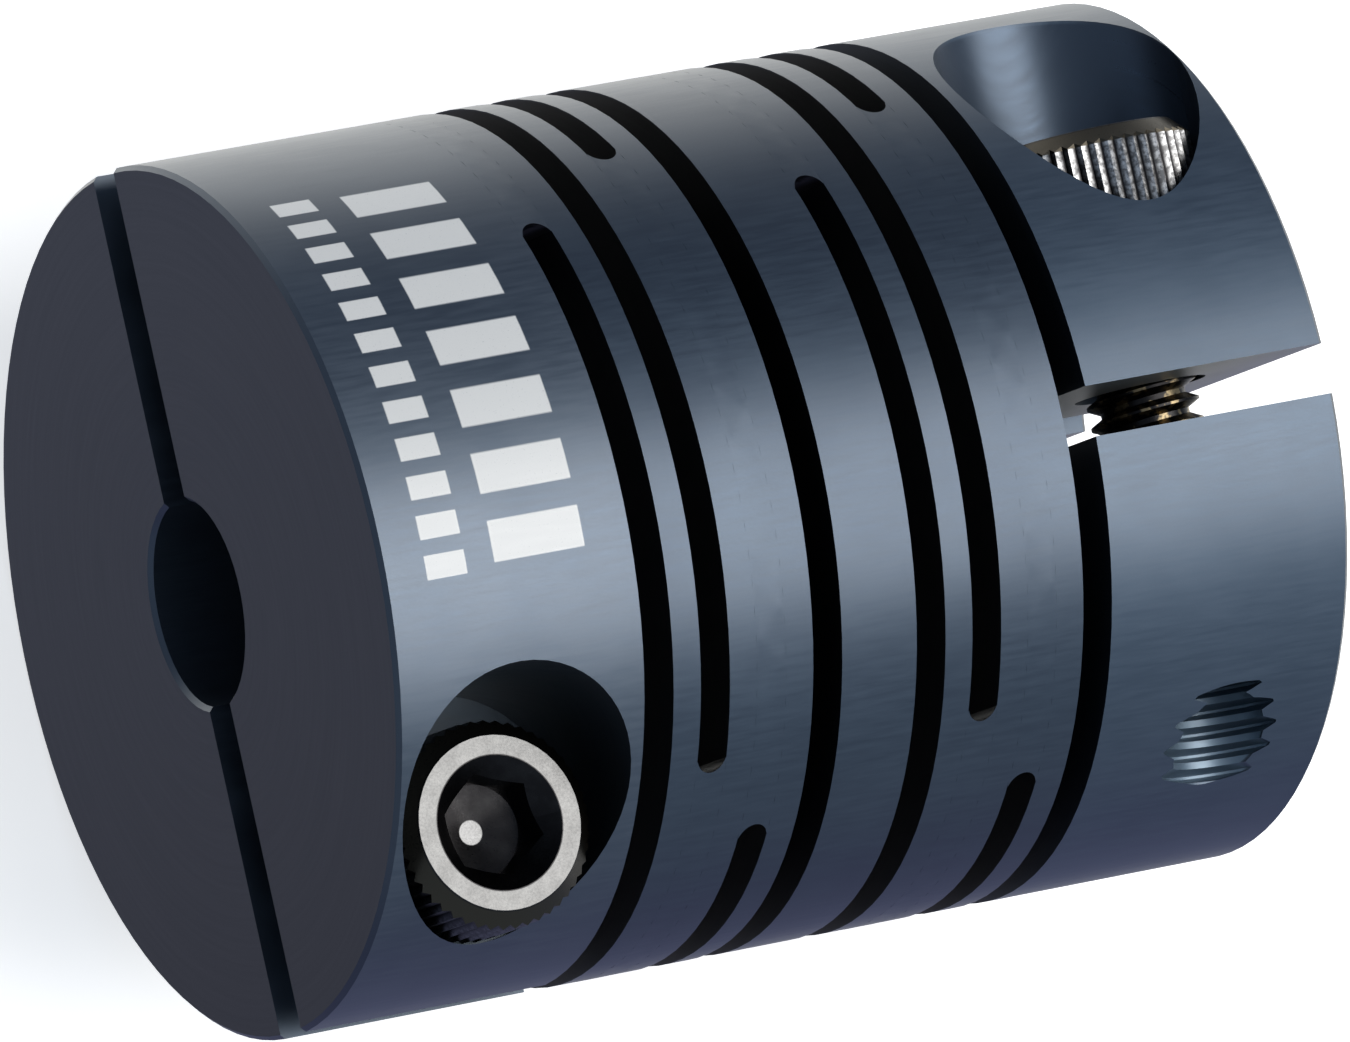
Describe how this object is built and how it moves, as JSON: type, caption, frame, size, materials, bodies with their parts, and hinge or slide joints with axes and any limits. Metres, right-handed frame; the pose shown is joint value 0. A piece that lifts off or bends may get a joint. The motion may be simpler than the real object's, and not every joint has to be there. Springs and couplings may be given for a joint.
{
  "type": "radial-beam shaft coupling",
  "caption": "One-piece flexible shaft coupling with cross slots that leave thin discs on short webs, and a split clamp hub with a socket head screw at each end.",
  "frame": {"origin": "centre of the coupling: on the shaft axis, midway between the two end faces", "axes": "+X along the shaft axis towards the right hub; the left clamp screw stands along +Z with its head up, and the right one lies along Y with its head at +Y"},
  "size_m": [0.023, 0.019, 0.019],
  "materials": {
    "anodised_body": "dark slate-blue anodised, finely turned",
    "black_screw": "black oxide, satin"
  },
  "bodies": {
    "left_head_jaw": {"left_hub_head_jaw": "anodised_body"},
    "left_thread_jaw": {"left_hub_thread_jaw": "anodised_body"},
    "left_screw": {"left_clamp_screw": "black_screw"},
    "right_head_jaw": {"right_hub_head_jaw": "anodised_body"},
    "right_thread_jaw": {"right_hub_thread_jaw": "anodised_body"},
    "right_screw": {"right_clamp_screw": "black_screw"},
    "left_outer": {"left_outer_disc": "anodised_body", "left_hub_head_web": "anodised_body", "left_hub_thread_web": "anodised_body"},
    "left_middle": {"left_middle_disc": "anodised_body", "left_outer_web": "anodised_body"},
    "left_inner": {"left_inner_disc": "anodised_body", "left_middle_web": "anodised_body"},
    "centre": {"centre_ring": "anodised_body", "left_inner_web": "anodised_body", "right_inner_web": "anodised_body"},
    "right_inner": {"right_inner_disc": "anodised_body", "right_middle_web": "anodised_body"},
    "right_middle": {"right_middle_disc": "anodised_body", "right_outer_web": "anodised_body"},
    "right_outer": {"right_outer_disc": "anodised_body", "right_hub_head_web": "anodised_body", "right_hub_thread_web": "anodised_body"}
  },
  "joints": [
    {"name": "left_hub_flexure", "type": "hinge", "parent": "left_head_jaw", "child": "left_outer", "pos_m": [-0.0053, 0.0075, 0], "axis": [0, 0, 1], "range_deg": [-0.5, 0.5], "stiffness_Nm_per_rad": 2.5, "deforming": ["left_hub_head_web", "left_hub_thread_web"]},
    {"name": "left_outer_flexure", "type": "hinge", "parent": "left_outer", "child": "left_middle", "pos_m": [-0.00395, -0.0075, 0], "axis": [0, 0, 1], "range_deg": [-0.5, 0.5], "stiffness_Nm_per_rad": 2.5, "deforming": ["left_outer_web"]},
    {"name": "left_middle_flexure", "type": "hinge", "parent": "left_middle", "child": "left_inner", "pos_m": [-0.0026, 0, 0.0075], "axis": [0, 1, 0], "range_deg": [-0.5, 0.5], "stiffness_Nm_per_rad": 2.5, "deforming": ["left_middle_web"]},
    {"name": "left_inner_flexure", "type": "hinge", "parent": "left_inner", "child": "centre", "pos_m": [-0.00125, 0, -0.0075], "axis": [0, 1, 0], "range_deg": [-0.5, 0.5], "stiffness_Nm_per_rad": 2.5, "deforming": ["left_inner_web"]},
    {"name": "right_inner_flexure", "type": "hinge", "parent": "centre", "child": "right_inner", "pos_m": [0.00125, 0.0075, 0], "axis": [0, 0, 1], "range_deg": [-0.5, 0.5], "stiffness_Nm_per_rad": 2.5, "deforming": ["right_inner_web"]},
    {"name": "right_middle_flexure", "type": "hinge", "parent": "right_inner", "child": "right_middle", "pos_m": [0.0026, -0.0075, 0], "axis": [0, 0, 1], "range_deg": [-0.5, 0.5], "stiffness_Nm_per_rad": 2.5, "deforming": ["right_middle_web"]},
    {"name": "right_outer_flexure", "type": "hinge", "parent": "right_middle", "child": "right_outer", "pos_m": [0.00395, 0, 0.0075], "axis": [0, 1, 0], "range_deg": [-0.5, 0.5], "stiffness_Nm_per_rad": 2.5, "deforming": ["right_outer_web"]},
    {"name": "right_hub_flexure", "type": "hinge", "parent": "right_outer", "child": "right_head_jaw", "pos_m": [0.0053, 0, -0.0075], "axis": [0, 1, 0], "range_deg": [-0.5, 0.5], "stiffness_Nm_per_rad": 2.5, "deforming": ["right_hub_head_web", "right_hub_thread_web"]},
    {"name": "left_screw_turn", "type": "hinge", "parent": "left_head_jaw", "child": "left_screw", "pos_m": [-0.0086, -0.00624, 0], "axis": [0, 0, -1], "range_deg": [0, 125]},
    {"name": "left_jaw_clamp", "type": "hinge", "parent": "left_head_jaw", "child": "left_thread_jaw", "pos_m": [-0.0086, 0.0075, 0], "axis": [-1, 0, 0], "range_deg": [0, 0.64], "deforming": ["left_hub_thread_web"]},
    {"name": "right_screw_turn", "type": "hinge", "parent": "right_head_jaw", "child": "right_screw", "pos_m": [0.00878, 0, 0.0059], "axis": [0, -1, 0], "range_deg": [0, 125]},
    {"name": "right_jaw_clamp", "type": "hinge", "parent": "right_head_jaw", "child": "right_thread_jaw", "pos_m": [0.00878, 0, -0.0075], "axis": [-1, 0, 0], "range_deg": [0, 0.64], "deforming": ["right_hub_thread_web"]}
  ],
  "couplings": [
    {"joint": "left_screw_turn", "follows": "left_jaw_clamp", "ratio": 191.85},
    {"joint": "right_screw_turn", "follows": "right_jaw_clamp", "ratio": 187.1}
  ]
}
